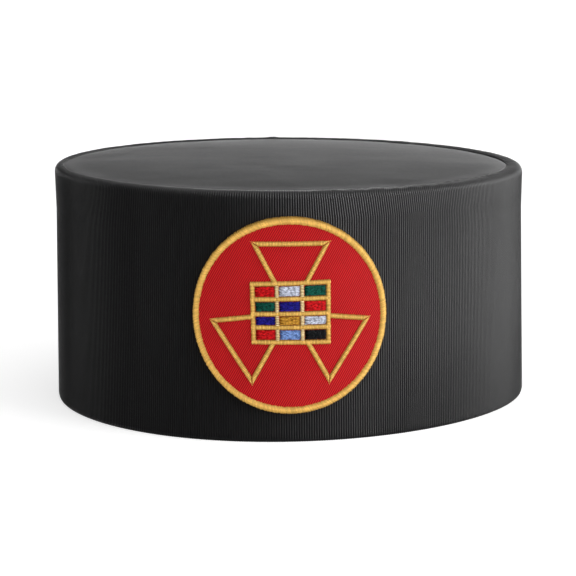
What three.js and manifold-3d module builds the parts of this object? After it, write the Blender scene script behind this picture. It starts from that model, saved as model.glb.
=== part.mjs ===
// A round black crown cap with an embroidered badge on its front.
// Millimetres, +Z up. The front of the cap faces -Y, and it stands on its hem.
// The origin is on the ground under the middle of the cap's outer box.
import * as THREE from "three";
import { mergeVertices } from "three/addons/utils/BufferGeometryUtils.js";
import { TessellateModifier } from "three/addons/modifiers/TessellateModifier.js";
import Module from "manifold-3d";

const wasm = await Module();
wasm.setup();

// The crown: a stiffened cloth band round an oval a little longer than wide.
const crownHeight = 89;
const halfWidth = 90.1;
const halfDepth = 94.6;
const wallThickness = 2.5;
const hemRound = 0.6;
const topNarrowing = 1.15; // the band stands this much further in at the rim than at the hem
const crownTilt = 1.1; // the rim is this much lower at +X than in the middle
const sidesRound = 120;

// The rolled rim, whose outermost line is also the top of the wall. Its crest is flat as far as the rounded
// edge at the panel's seam.
const rimRadius = 2.6;
const rimSeamRound = 0.6;
const rimCrest = 2.05; // from the roll's middle line to the seam
const rimCrestWaver = 1.25; // the crest is this much wider at +X and narrower at -X
const rimFlare = 0.5;
const rimFlareHeight = 14;
const rimSteps = 4;
const rimSeamSteps = 2;

// The top panel, sewn to the inside of the rim just below its crest.
const panelThickness = 2;
const panelSink = 0.5;
const panelDome = 1.5;

// The gap that two sewn pieces keep.
const clothGap = 0.3;

// How far the soft band stands off a true oval: the waves round it, their height as a share of its radius,
// and the angle at which one of them crests.
const outOfTrue = [
  { waves: 2, share: 0.012, crestAt: -45 },
  { waves: 3, share: 0.0047, crestAt: -31.6 },
  { waves: 4, share: 0.0051, crestAt: -9 },
];

// The panel's rings, as shares of its reach from the middle to its edge.
const panelRings = [0.3, 0.6, 0.85, 1];

// The badge: a round twill patch with an overlocked border.
const badgeDiameter = 70;
const badgeRise = 45.4; // its centre above the hem
const badgeAside = 0.55; // its centre off the cap's middle line, towards +X
const groundThickness = 1.2;
const borderWidth = 2.6;
const borderThickness = 2.2;
const borderSides = 64;
const borderSteps = 8;

// Embroidered lines and stones lie on the ground cloth.
const strokeWidth = 1.8;
const strokeThickness = 1;
const stoneThickness = 0.8;

// Three triangles share one corner behind the breastplate. Their other corners lie on the stroke's middle
// line, at a share of the badge's radius from its centre and an angle anticlockwise from the viewer's right.
const sharedCorner = { reach: 0.043, at: 90 };
const triangles = [
  { side: "top", firstReach: 0.82, firstAt: 63.1, secondReach: 0.81, secondAt: 116 },
  { side: "left", firstReach: 0.784, firstAt: 184.2, secondReach: 0.767, secondAt: 239.6 },
  { side: "right", firstReach: 0.762, firstAt: 300.3, secondReach: 0.782, secondAt: 356.5 },
];

// The breastplate: a frame with a window for each stone.
const plateWidth = 28.2;
const plateHeight = 22.7;
const plateRise = 1.2; // its centre above the badge's centre
const barWidth = 1.8;
const uprightWidth = 1.6;

// The corners of the hand-guided stitching stand off a true rectangle, in shares of its half sizes.
const plateCorners = {
  topLeft: { across: -1.005, up: 0.967 },
  topRight: { across: 1.008, up: 1.026 },
  bottomRight: { across: 0.996, up: -1.012 },
  bottomLeft: { across: -0.97, up: -0.988 },
};

// The windows' heights from the top row down, and widths from the left, in shares of what the bars leave.
const windowRows = [
  { row: 1, share: 0.27, stones: ["red", "white", "green"] },
  { row: 2, share: 0.255, stones: ["green", "blue", "red"] },
  { row: 3, share: 0.22, stones: ["blue", "gold", "white"] },
  { row: 4, share: 0.255, stones: ["red", "sky", "black"] },
];
const windowColumns = [
  { column: 1, share: 0.315 },
  { column: 2, share: 0.335 },
  { column: 3, share: 0.35 },
];

// Cloth folds smoothly, so flat pieces are cut into edges no longer than these before they are bent.
const groundEdge = 7;
const strokeEdge = 5;
const tessellateRounds = 8;
const discSides = 80;
const arcStep = 0.5;
const mergeWithin = 1e-4;

const colours = {
  band: 0x1d1d1f,
  panel: 0x242426,
  twill: 0xbe1a24,
  thread: 0xd9aa55,
  red: 0xaf141e,
  white: 0xc8cde1,
  green: 0x195f50,
  blue: 0x231e87,
  gold: 0xcd9637,
  sky: 0x789bd7,
  black: 0x121416,
};

const radians = THREE.MathUtils.degToRad;
const badgeRadius = badgeDiameter / 2;

// The crown's surface

// The oval's radius at an angle from the front, turning towards +X.
function outlineRadius(turn) {
  const oval = (halfWidth * halfDepth) / Math.hypot(halfDepth * Math.sin(turn), halfWidth * Math.cos(turn));
  const swell = outOfTrue.reduce(
    (sum, wave) => sum + wave.share * Math.cos(wave.waves * (turn - radians(wave.crestAt))),
    1,
  );
  return oval * swell;
}

// How far outside the hem's outline the wall's outer face stands at a height.
function wallStand(height) {
  const flareStart = crownHeight - rimRadius - rimFlareHeight;
  const flare = THREE.MathUtils.smoothstep(height, flareStart, flareStart + rimFlareHeight);
  return rimFlare * flare - (topNarrowing * height) / crownHeight;
}

// A point of the crown: its angle, how far outside the hem's outline it stands, its height in the middle, and
// the share of the rim's crest that it lies further in.
function crownPoint(turn, stand, height, crest = 0) {
  const radius = outlineRadius(turn) + stand - crest * (rimCrest + rimCrestWaver * Math.sin(turn));
  const x = radius * Math.sin(turn);
  const y = -radius * Math.cos(turn);
  const drop = ((crownTilt * height) / crownHeight) * (x / halfWidth);
  return new THREE.Vector3(x, y, height - drop);
}

function roundRow(stand, height, crest) {
  return Array.from({ length: sidesRound }, (_, side) =>
    crownPoint((side / sidesRound) * 2 * Math.PI, stand, height, crest),
  );
}

// Joins rows of points into a skin. A row is a full turn or a single pole, and a closed skin joins its two
// end rows.
function skinRound(rows, closed) {
  const positions = rows.flat().flatMap((point) => point.toArray());
  const starts = rows.map((_, row) => rows.slice(0, row).reduce((sum, each) => sum + each.length, 0));
  const index = [];
  for (let row = 0; row < rows.length - (closed ? 0 : 1); row += 1) {
    const above = (row + 1) % rows.length;
    for (let side = 0; side < sidesRound; side += 1) {
      const corner = (which, step) => starts[which] + ((side + step) % rows[which].length);
      if (rows[row].length > 1) index.push(corner(row, 0), corner(row, 1), corner(above, 1));
      if (rows[above].length > 1) index.push(corner(row, 0), corner(above, 1), corner(above, 0));
    }
  }
  const geometry = new THREE.BufferGeometry();
  geometry.setAttribute("position", new THREE.Float32BufferAttribute(positions, 3));
  geometry.setIndex(index);
  return geometry;
}

// The middle line of the rolled rim.
const rimHeight = crownHeight - rimRadius;
const rimStand = wallStand(rimHeight) - rimRadius;

// A quarter turn of the wall's section, from an angle, as pairs of a cosine and a sine.
function quarter(first, steps) {
  return Array.from({ length: steps + 1 }, (_, step) => {
    const angle = radians(first + (90 * step) / steps);
    return [Math.cos(angle), Math.sin(angle)];
  });
}

function crownWall() {
  const flareStart = rimHeight - rimFlareHeight;
  const outerHeights = [hemRound, flareStart / 2, flareStart];
  outerHeights.push(flareStart + rimFlareHeight / 3, flareStart + (2 * rimFlareHeight) / 3);
  const innerHeights = [flareStart, flareStart / 2, hemRound];
  const hemInside = wallStand(0) - wallThickness + hemRound;
  const seamHeight = crownHeight - rimSeamRound;
  const outline = [
    [hemInside, 0],
    [wallStand(0) - hemRound, 0],
    ...outerHeights.map((height) => [wallStand(height), height]),
    ...quarter(0, rimSteps).map(([out, up]) => [rimStand + rimRadius * out, rimHeight + rimRadius * up]),
    ...quarter(90, rimSeamSteps).map(([out, up]) => [
      rimStand + rimSeamRound * (1 + out),
      seamHeight + rimSeamRound * up,
      1,
    ]),
    ...quarter(180, rimSteps).map(([out, up]) => [rimStand, rimHeight + rimRadius * up, -out]),
    ...innerHeights.map((height) => [wallStand(height) - wallThickness, height]),
  ];
  return skinRound(
    outline.map(([stand, height, crest]) => roundRow(stand, height, crest)),
    true,
  );
}

// The panel runs from the middle of its underside out to its edge and back over its top.
function topPanel() {
  const edgeStand = rimStand - clothGap;
  const edgeHeight = crownHeight - panelSink;
  const middle = crownPoint(0, -outlineRadius(0), edgeHeight + panelDome);
  const ring = (share, drop) =>
    roundRow(edgeStand, edgeHeight, 1).map((edge) => {
      const point = middle.clone().lerp(edge, share);
      const flat = THREE.MathUtils.lerp(middle.z - panelDome, edge.z, share);
      point.z = flat + panelDome * (1 - share * share) - drop;
      return point;
    });
  const pole = (drop) => [new THREE.Vector3(middle.x, middle.y, middle.z - drop)];
  const underside = panelRings.map((share) => ring(share, panelThickness));
  const top = [...panelRings].reverse().map((share) => ring(share, 0));
  return skinRound([pole(panelThickness), ...underside, ...top, pole(0)], false);
}

// Flat work for the badge, laid out as the viewer sees it: X across, Y up, Z out of the cloth.

function toSolid(geometry) {
  const bare = new THREE.BufferGeometry();
  bare.setAttribute("position", geometry.getAttribute("position"));
  if (geometry.index) bare.setIndex(geometry.index);
  const merged = mergeVertices(bare, mergeWithin);
  return new wasm.Manifold(
    new wasm.Mesh({
      numProp: 3,
      vertProperties: merged.getAttribute("position").array,
      triVerts: new Uint32Array(merged.index.array),
    }),
  );
}

function fromSolid(solid) {
  const mesh = solid.getMesh();
  const geometry = new THREE.BufferGeometry();
  geometry.setAttribute("position", new THREE.BufferAttribute(mesh.vertProperties, 3));
  geometry.setIndex(new THREE.BufferAttribute(mesh.triVerts, 1));
  return geometry;
}

// A flat shape of a thickness, standing off the wall's cloth by a layer.
function extrude(shape, layer, thickness) {
  const geometry = new THREE.ExtrudeGeometry(shape, {
    depth: thickness,
    bevelEnabled: false,
    curveSegments: discSides / 2,
  });
  return geometry.translate(0, 0, layer);
}

function rectangle(across, up, width, height) {
  const points = [
    new THREE.Vector2(across - width / 2, up - height / 2),
    new THREE.Vector2(across + width / 2, up - height / 2),
    new THREE.Vector2(across + width / 2, up + height / 2),
    new THREE.Vector2(across - width / 2, up + height / 2),
  ];
  return new THREE.Shape(points);
}

function polar(reach, at) {
  const angle = radians(at);
  return new THREE.Vector2(Math.cos(angle), Math.sin(angle)).multiplyScalar(reach * badgeRadius);
}

// The angle at which a length measured along the wall from the cap's middle line ends.
function turnAcross(across) {
  const steps = Math.max(1, Math.ceil(Math.abs(across) / arcStep));
  const length = across / steps;
  let turn = 0;
  for (let step = 0; step < steps; step += 1) {
    const nudge = length / outlineRadius(turn);
    const ahead = crownPoint(turn + nudge, 0, 0).distanceTo(crownPoint(turn, 0, 0));
    turn += (nudge * Math.abs(length)) / ahead;
  }
  return turn;
}

// Bends flat work round the front of the wall.
function bend(geometry, longestEdge) {
  const fine = new TessellateModifier(longestEdge, tessellateRounds).modify(geometry);
  fine.deleteAttribute("normal");
  fine.deleteAttribute("uv");
  const bent = mergeVertices(fine, mergeWithin);
  const position = bent.getAttribute("position");
  for (let vertex = 0; vertex < position.count; vertex += 1) {
    const height = badgeRise + position.getY(vertex);
    const turn = turnAcross(badgeAside + position.getX(vertex));
    const point = crownPoint(turn, wallStand(height) + position.getZ(vertex), height);
    position.setXYZ(vertex, point.x, point.y, point.z);
  }
  return bent;
}

function badgeGround() {
  const radius = badgeRadius - borderWidth - clothGap;
  const disc = new THREE.Shape().absarc(0, 0, radius, 0, 2 * Math.PI);
  return bend(extrude(disc, clothGap, groundThickness), groundEdge);
}

// The border's section is a flat back with a rounded front.
function badgeBorder() {
  const middle = badgeRadius - borderWidth / 2;
  const profile = [];
  for (let step = 0; step <= borderSteps; step += 1) {
    const angle = Math.PI * (step / borderSteps);
    profile.push(
      new THREE.Vector2(
        middle + (borderWidth / 2) * Math.cos(angle),
        clothGap + borderThickness * Math.sin(angle),
      ),
    );
  }
  profile.push(profile[0].clone());
  const ring = new THREE.LatheGeometry(profile, borderSides).rotateX(Math.PI / 2);
  return bend(ring, groundEdge);
}

const strokeLayer = clothGap + groundThickness + clothGap;

// The outline of a triangle whose sides lie a distance outside the given ones.
function grownTriangle(corners, distance) {
  const [a, b, c] = corners;
  const sides = [b.distanceTo(c), c.distanceTo(a), a.distanceTo(b)];
  const girth = sides[0] + sides[1] + sides[2];
  const centre = new THREE.Vector2();
  corners.forEach((corner, which) => centre.addScaledVector(corner, sides[which] / girth));
  const area = Math.abs((b.x - a.x) * (c.y - a.y) - (c.x - a.x) * (b.y - a.y)) / 2;
  const inRadius = (2 * area) / girth;
  const growth = 1 + distance / inRadius;
  return corners.map((corner) => corner.clone().sub(centre).multiplyScalar(growth).add(centre));
}

// A triangle of even strokes, ending where the breastplate covers it.
function badgeTriangle(row) {
  const corners = [
    polar(sharedCorner.reach, sharedCorner.at),
    polar(row.firstReach, row.firstAt),
    polar(row.secondReach, row.secondAt),
  ];
  const shape = new THREE.Shape(grownTriangle(corners, strokeWidth / 2));
  shape.holes.push(new THREE.Path(grownTriangle(corners, -strokeWidth / 2)));
  const cover = rectangle(0, plateRise, plateWidth + 2 * clothGap, plateHeight + 2 * clothGap);
  const coverSolid = toSolid(overPlate(extrude(cover, 0, strokeLayer + 2 * strokeThickness)));
  const strokes = toSolid(extrude(shape, strokeLayer, strokeThickness));
  return bend(fromSolid(strokes.subtract(coverSolid)), strokeEdge);
}

// Moves plate work from a true rectangle to the plate's own four corners.
function overPlate(geometry) {
  const position = geometry.getAttribute("position");
  const { topLeft, topRight, bottomRight, bottomLeft } = plateCorners;
  for (let vertex = 0; vertex < position.count; vertex += 1) {
    const right = position.getX(vertex) / plateWidth + 0.5;
    const high = (position.getY(vertex) - plateRise) / plateHeight + 0.5;
    const blend = (key) =>
      bottomLeft[key] * (1 - right) * (1 - high) +
      bottomRight[key] * right * (1 - high) +
      topLeft[key] * (1 - right) * high +
      topRight[key] * right * high;
    position.setX(vertex, (blend("across") * plateWidth) / 2);
    position.setY(vertex, plateRise + (blend("up") * plateHeight) / 2);
  }
  return geometry;
}

// Each window of the plate, with its middle and its clear size.
function plateWindows() {
  const clearWidth = plateWidth - 2 * barWidth - (windowColumns.length - 1) * uprightWidth;
  const clearHeight = plateHeight - (windowRows.length + 1) * barWidth;
  const windows = [];
  let top = plateRise + plateHeight / 2 - barWidth;
  windowRows.forEach(({ row, share, stones }) => {
    const height = clearHeight * share;
    let left = -plateWidth / 2 + barWidth;
    windowColumns.forEach((entry, place) => {
      const width = clearWidth * entry.share;
      windows.push({
        name: `stone_r${row}c${entry.column}`,
        colour: stones[place],
        across: left + width / 2,
        up: top - height / 2,
        width,
        height,
      });
      left += width + uprightWidth;
    });
    top -= height + barWidth;
  });
  return windows;
}

function breastplateFrame() {
  const plate = rectangle(0, plateRise, plateWidth, plateHeight);
  let frame = toSolid(extrude(plate, strokeLayer, strokeThickness));
  plateWindows().forEach((pane) => {
    const opening = rectangle(pane.across, pane.up, pane.width, pane.height);
    frame = frame.subtract(toSolid(extrude(opening, 0, strokeLayer + 2 * strokeThickness)));
  });
  return bend(overPlate(fromSolid(frame)), strokeEdge);
}

function stone(pane) {
  const shape = rectangle(pane.across, pane.up, pane.width - 2 * clothGap, pane.height - 2 * clothGap);
  return bend(overPlate(extrude(shape, strokeLayer, stoneThickness)), strokeEdge);
}

// The cap

function piece(name, geometry, colour, roughness) {
  geometry.computeVertexNormals();
  const material = new THREE.MeshStandardMaterial({ color: colours[colour], roughness, metalness: 0 });
  const mesh = new THREE.Mesh(geometry, material);
  mesh.name = name;
  return mesh;
}

const clothRoughness = 0.85;
const threadRoughness = 0.55;

const badge = new THREE.Group();
badge.add(piece("badge_ground", badgeGround(), "twill", clothRoughness));
badge.add(piece("badge_border", badgeBorder(), "thread", threadRoughness));
triangles.forEach((row) => {
  badge.add(piece(`badge_triangle_${row.side}`, badgeTriangle(row), "thread", threadRoughness));
});
badge.add(piece("breastplate_frame", breastplateFrame(), "thread", threadRoughness));
plateWindows().forEach((pane) => {
  badge.add(piece(pane.name, stone(pane), pane.colour, threadRoughness));
});

const cap = new THREE.Group();
cap.add(piece("crown_wall", crownWall(), "band", clothRoughness));
cap.add(piece("top_panel", topPanel(), "panel", clothRoughness));
cap.add(badge);

const middle = new THREE.Box3().setFromObject(cap).getCenter(new THREE.Vector3());
cap.position.set(-middle.x, -middle.y, 0);

export default cap;
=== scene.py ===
import math
from collections import namedtuple

import bpy
import numpy as np
from bpy.props import FloatProperty, FloatVectorProperty, PointerProperty
from bpy.types import Operator, Panel, PropertyGroup
from mathutils import Matrix, Vector


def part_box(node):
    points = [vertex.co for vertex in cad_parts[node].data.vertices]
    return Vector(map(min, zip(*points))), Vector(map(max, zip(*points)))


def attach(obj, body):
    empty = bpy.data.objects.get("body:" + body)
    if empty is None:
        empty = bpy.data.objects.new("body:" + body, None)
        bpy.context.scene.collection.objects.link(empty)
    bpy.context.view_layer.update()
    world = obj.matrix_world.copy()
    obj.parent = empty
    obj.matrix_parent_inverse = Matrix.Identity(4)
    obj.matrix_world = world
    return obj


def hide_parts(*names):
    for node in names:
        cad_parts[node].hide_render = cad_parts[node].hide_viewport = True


bl_info = {
    "name": "Crown Cap Looks",
    "version": (1, 0, 0),
    "blender": (4, 5, 0),
    "location": "View3D > Sidebar > Cap",
    "description": "Dresses a round crown cap in ribbed cloth and embroiders the badge on its front",
    "category": "Add Mesh",
}

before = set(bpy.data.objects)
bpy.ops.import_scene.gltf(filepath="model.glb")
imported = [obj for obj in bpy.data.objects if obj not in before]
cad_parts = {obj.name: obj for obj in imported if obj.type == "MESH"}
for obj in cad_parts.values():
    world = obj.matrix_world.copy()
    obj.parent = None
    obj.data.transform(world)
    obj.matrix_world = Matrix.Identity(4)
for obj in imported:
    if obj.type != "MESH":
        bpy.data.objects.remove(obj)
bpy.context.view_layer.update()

MM = 0.001
FULL_TURN = 2 * math.pi


# Sizes and colours that a user would change

def length(name, description, default):
    """A length in metres, as a property of the panel."""
    return FloatProperty(name=name, description=description, default=default, unit="LENGTH", precision=5)


def share(name, description, default):
    """A plain number, as a property of the panel."""
    return FloatProperty(name=name, description=description, default=default, precision=4)


def colour(name, description, default):
    """A linear colour, as a property of the panel."""
    return FloatVectorProperty(name=name, description=description, default=default, subtype="COLOR",
                               size=3, min=0, max=1)


class CapCrownSizes(PropertyGroup):
    """The crown's plan, wall, rim and top panel."""

    height: length("Height", "From the hem to the crest of the rim", 89 * MM)
    half_width: length("Half Width", "Half of the oval plan from side to side", 90.1 * MM)
    half_depth: length("Half Depth", "Half of the oval plan from front to back", 94.6 * MM)
    wall: length("Wall", "Thickness of the stiffened cloth band", 2.5 * MM)
    hem_round: length("Hem Round", "Radius of the fold at the hem", 0.6 * MM)
    narrowing: length("Narrowing", "How much further in the band stands at the rim", 1.15 * MM)
    tilt: length("Tilt", "How much lower the rim is at the viewer's right", 1.1 * MM)
    rim_radius: length("Rim Radius", "Radius of the rolled rim", 2.6 * MM)
    seam_round: length("Seam Round", "Radius of the rim's edge at the panel's seam", 0.4 * MM)
    crest: length("Crest", "From the roll's middle line to the panel's seam", 2.05 * MM)
    crest_waver: length("Crest Waver", "How much wider the crest is at the viewer's right", 1.25 * MM)
    rim_flare: length("Rim Flare", "How far the band swells out to the rim", 0.5 * MM)
    flare_height: length("Flare Height", "Height over which the band swells", 14 * MM)
    panel_thickness: length("Panel Thickness", "Thickness of the top panel", 2 * MM)
    panel_sink: length("Panel Sink", "How far the panel's seam lies below the rim", 0.5 * MM)
    panel_dome: length("Panel Dome", "Rise of the panel's middle", 1.9 * MM)
    hem_turn: length("Hem Turn", "Height of the cloth turned in at the hem", 15 * MM)
    hem_step: length("Hem Step", "Thickness of the cloth turned in", 0.5 * MM)
    seam_aside: length("Seam Aside", "From the middle of the back to the band's seam", 6.4 * MM)
    gap: length("Gap", "Gap between two sewn pieces", 0.3 * MM)


class CapClothLooks(PropertyGroup):
    """The ribbed cloth and the twill."""

    rib_pitch: length("Rib Pitch", "Distance from rib to rib on the band", 0.895 * MM)
    rib_height: length("Rib Height", "Height of a rib above its valley", 0.36 * MM)
    twill_pitch: length("Twill Pitch", "Distance from line to line of the twill", 0.7 * MM)
    twill_height: length("Twill Height", "Height of a twill line", 0.25 * MM)
    twill_angle: FloatProperty(name="Twill Angle", description="Angle of the twill's lines",
                               default=math.radians(60), subtype="ANGLE")
    black: colour("Black", "Crests of the ribbed cloth", (0.0125, 0.0122, 0.0132))
    # Painted shade in the ribs' valleys, which is also the darker tone of the cloth's uneven dye
    valley_shade_and_dye: colour("Valley", "Valleys of the ribbed cloth", (0.0018, 0.0018, 0.0020))
    red: colour("Red", "Twill of the badge", (0.74, 0.0080, 0.0115))
    # Painted shade in the twill's valleys, which is also the darker tone of its uneven dye
    red_valley_shade_and_dye: colour("Red Valley", "Valleys of the twill", (0.14, 0.0014, 0.0022))


class CapBadgeSizes(PropertyGroup):
    """The badge, its border and its stitched figures."""

    diameter: length("Diameter", "Across the badge", 70 * MM)
    rise: length("Rise", "Centre of the badge above the hem", 45.4 * MM)
    aside: length("Aside", "Centre of the badge towards the viewer's right", 0.55 * MM)
    ground: length("Ground", "Thickness of the ground cloth", 1.2 * MM)
    border_width: length("Border Width", "Width of the overlocked border", 2.8 * MM)
    border_height: length("Border Height", "Height of the border off the band", 2.0 * MM)
    border_pitch: length("Border Pitch", "Distance between the border's threads", 0.38 * MM)
    border_thread: length("Border Thread", "Radius of a border thread", 0.2 * MM)
    stroke_width: length("Stroke Width", "Width of a triangle's stroke", 1.8 * MM)
    stroke_height: length("Stroke Height", "Height of a stroke on the ground cloth", 0.85 * MM)
    thread_pitch: length("Thread Pitch", "Distance between the threads of a stroke", 0.5 * MM)
    thread: length("Thread", "Radius of an embroidery thread", 0.22 * MM)
    plate_width: length("Plate Width", "Width of the breastplate", 28.2 * MM)
    plate_height: length("Plate Height", "Height of the breastplate", 22.7 * MM)
    plate_rise: length("Plate Rise", "Centre of the breastplate above the badge's", 1.2 * MM)
    bar_width: length("Bar Width", "Width of a bar of the breastplate", 1.8 * MM)
    upright_width: length("Upright Width", "Width of an upright between two stones", 1.6 * MM)
    stone_height: length("Stone Height", "Height of a stone's padding", 0.3 * MM)
    stone_stitch: length("Stone Stitch", "Length of a stone's stitch", 1.9 * MM)


class CapThreadColours(PropertyGroup):
    """The threads of the badge, where light falls on them."""

    gold: colour("Gold", "Border, triangles and frame", (0.98, 0.61, 0.145))
    pale: colour("Pale Gold", "Uprights between the stones", (0.98, 0.80, 0.46))
    red: colour("Red", "Red stones", (0.86, 0.010, 0.016))
    white: colour("White", "White stones", (0.80, 0.84, 0.98))
    green: colour("Green", "Green stones", (0.006, 0.130, 0.090))
    blue: colour("Blue", "Blue stones", (0.022, 0.016, 0.33))
    amber: colour("Amber", "Amber stone", (0.80, 0.42, 0.055))
    sky: colour("Sky", "Sky blue stone", (0.30, 0.48, 0.92))
    black: colour("Black", "Black stone and the hem's stitches", (0.003, 0.0035, 0.004))


class CapStudio(PropertyGroup):
    """The camera and the floor."""

    distance: length("Distance", "From the camera to the cap's middle", 0.9173)
    elevation: FloatProperty(name="Elevation", description="Angle of the camera above the floor",
                             default=math.radians(9.187), subtype="ANGLE")
    lens: FloatProperty(name="Lens", description="Focal length of the camera in millimetres", default=146.8)
    pan: FloatProperty(name="Pan", description="Turn of the camera to its left", default=math.radians(0.0182),
                       subtype="ANGLE")
    pitch: FloatProperty(name="Pitch", description="Turn of the camera upwards",
                         default=math.radians(-0.3164), subtype="ANGLE")
    roll: FloatProperty(name="Roll", description="Turn of the camera about its view",
                        default=math.radians(-0.487), subtype="ANGLE")
    floor_radius: length("Floor Radius", "Reach of the pale floor", 40.0)


# How far the soft band stands off a true oval: the waves round it, their share of its radius and one crest
Wave = namedtuple("Wave", "waves share crest_at")
OUT_OF_TRUE = (Wave(2, 0.012, -45), Wave(3, 0.0047, -31.6), Wave(4, 0.0051, -9))

# Three triangles share one corner behind the breastplate, at a share of the badge's radius and an angle
# anticlockwise from the viewer's right
SHARED_CORNER = (0.043, 90)
Triangle = namedtuple("Triangle", "side first second")
TRIANGLES = (
    Triangle("top", (0.82, 63.1), (0.81, 116)),
    Triangle("left", (0.784, 184.2), (0.767, 239.6)),
    Triangle("right", (0.762, 300.3), (0.782, 356.5)),
)

# The plate's corners stand off a true rectangle, in shares of its half sizes
PLATE_CORNERS = {
    "top_left": (-1.005, 0.967),
    "top_right": (1.008, 1.026),
    "bottom_right": (0.996, -1.012),
    "bottom_left": (-0.97, -0.988),
}

# The stones, as shares of what the bars leave
ROW_SHARES = (0.27, 0.255, 0.22, 0.255)
COLUMN_SHARES = (0.315, 0.335, 0.35)
STONES = (
    ("red", "white", "green"),
    ("green", "blue", "red"),
    ("blue", "amber", "white"),
    ("red", "sky", "black"),
)

# The cloth surface that every piece follows

def smoothstep(value, low, high):
    """0 below low, 1 above high, and a smooth rise between them."""
    along = np.clip((value - low) / (high - low), 0, 1)
    return along * along * (3 - 2 * along)


def between(value, start, full, ending, end):
    """0 outside start and end, 1 from full to ending, and smooth steps between them."""
    return smoothstep(value, start, full) * (1 - smoothstep(value, ending, end))


class CrownSurface:
    """Where the cap's cloth lies, by angle round the crown, stand off the hem's line and height."""

    # The crown's box is taken from this many points, and lengths round the hem from this many angles
    HEM_SIDES = 120
    HEM_ANGLES = 14401

    def __init__(self, sizes, badge):
        self.sizes = sizes
        self.badge = badge
        self.shift = np.zeros(3)
        turns = np.linspace(0, FULL_TURN, self.HEM_SIDES, endpoint=False)
        plan = self.point(turns, self.stand(sizes.hem_round), sizes.hem_round)
        low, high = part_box("crown_wall")
        middle = (np.array(low) + np.array(high)) / 2
        self.shift = middle - (plan.min(axis=0) + plan.max(axis=0)) / 2
        self.shift[2] = 0
        self.turns = np.linspace(-math.pi, math.pi, self.HEM_ANGLES)
        hem = self.point(self.turns, 0, 0)
        steps = np.linalg.norm(np.diff(hem, axis=0), axis=1)
        self.lengths = np.concatenate(([0], np.cumsum(steps)))
        self.girth = self.lengths[-1]
        self.lengths = self.lengths - np.interp(0, self.turns, self.lengths)

    def radius(self, turn):
        """The oval's radius at an angle from the front, turning towards the viewer's right."""
        sizes = self.sizes
        oval = sizes.half_width * sizes.half_depth / np.hypot(
            sizes.half_depth * np.sin(turn), sizes.half_width * np.cos(turn)
        )
        swell = 1
        for wave in OUT_OF_TRUE:
            swell = swell + wave.share * np.cos(wave.waves * (turn - math.radians(wave.crest_at)))
        return oval * swell

    def stand(self, height):
        """How far outside the hem's line the band's outer face stands at a height."""
        sizes = self.sizes
        rim = sizes.height - sizes.rim_radius
        flare = smoothstep(height, rim - sizes.flare_height, rim)
        return sizes.rim_flare * flare - sizes.narrowing * height / sizes.height

    def reach(self, turn, stand, crest=0):
        """How far a point lies from the middle, at a stand and further in by a share of the rim's crest."""
        sizes = self.sizes
        return self.radius(turn) + stand - crest * (sizes.crest + sizes.crest_waver * np.sin(turn))

    def point(self, turn, stand, height, crest=0):
        """Points of the crown, for numbers or arrays that go together."""
        sizes = self.sizes
        radius = self.reach(turn, stand, crest)
        across = radius * np.sin(turn)
        deep = -radius * np.cos(turn)
        up = height - sizes.tilt * height / sizes.height * across / sizes.half_width
        return np.stack(np.broadcast_arrays(across, deep, up), axis=-1) + self.shift

    def turn_at(self, distance):
        """The angle at a distance along the hem's line from the middle of the front."""
        return np.interp(distance, self.lengths, self.turns)

    def bend(self, flat, out):
        """Bends flat badge work, given across and up from the badge's centre, round the front of the band."""
        flat = np.asarray(flat, float)
        height = self.badge.rise + flat[..., 1]
        turn = self.turn_at(self.badge.aside + flat[..., 0])
        return self.point(turn, self.stand(height) + out, height)

    def along(self, flat, direction):
        """The direction on the bent cloth of a flat direction, at flat points."""
        small = 0.05 * MM
        step = np.asarray(direction, float) * small
        moved = self.bend(flat + step, 0) - self.bend(flat - step, 0)
        return moved / np.linalg.norm(moved, axis=-1, keepdims=True)

    def outward(self, flat):
        """The direction out of the bent cloth at flat points."""
        made = np.cross(self.along(flat, (1, 0)), self.along(flat, (0, 1)))
        return made / np.linalg.norm(made, axis=-1, keepdims=True)

    def rim_middle(self):
        """The stand and the height of the rolled rim's middle line."""
        height = self.sizes.height - self.sizes.rim_radius
        return self.stand(height) - self.sizes.rim_radius, height


def surface_of(scene):
    """The cloth surface with the sizes that the panel shows."""
    return CrownSurface(scene.cap_crown, scene.cap_badge)


# Meshes from rows of points

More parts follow.
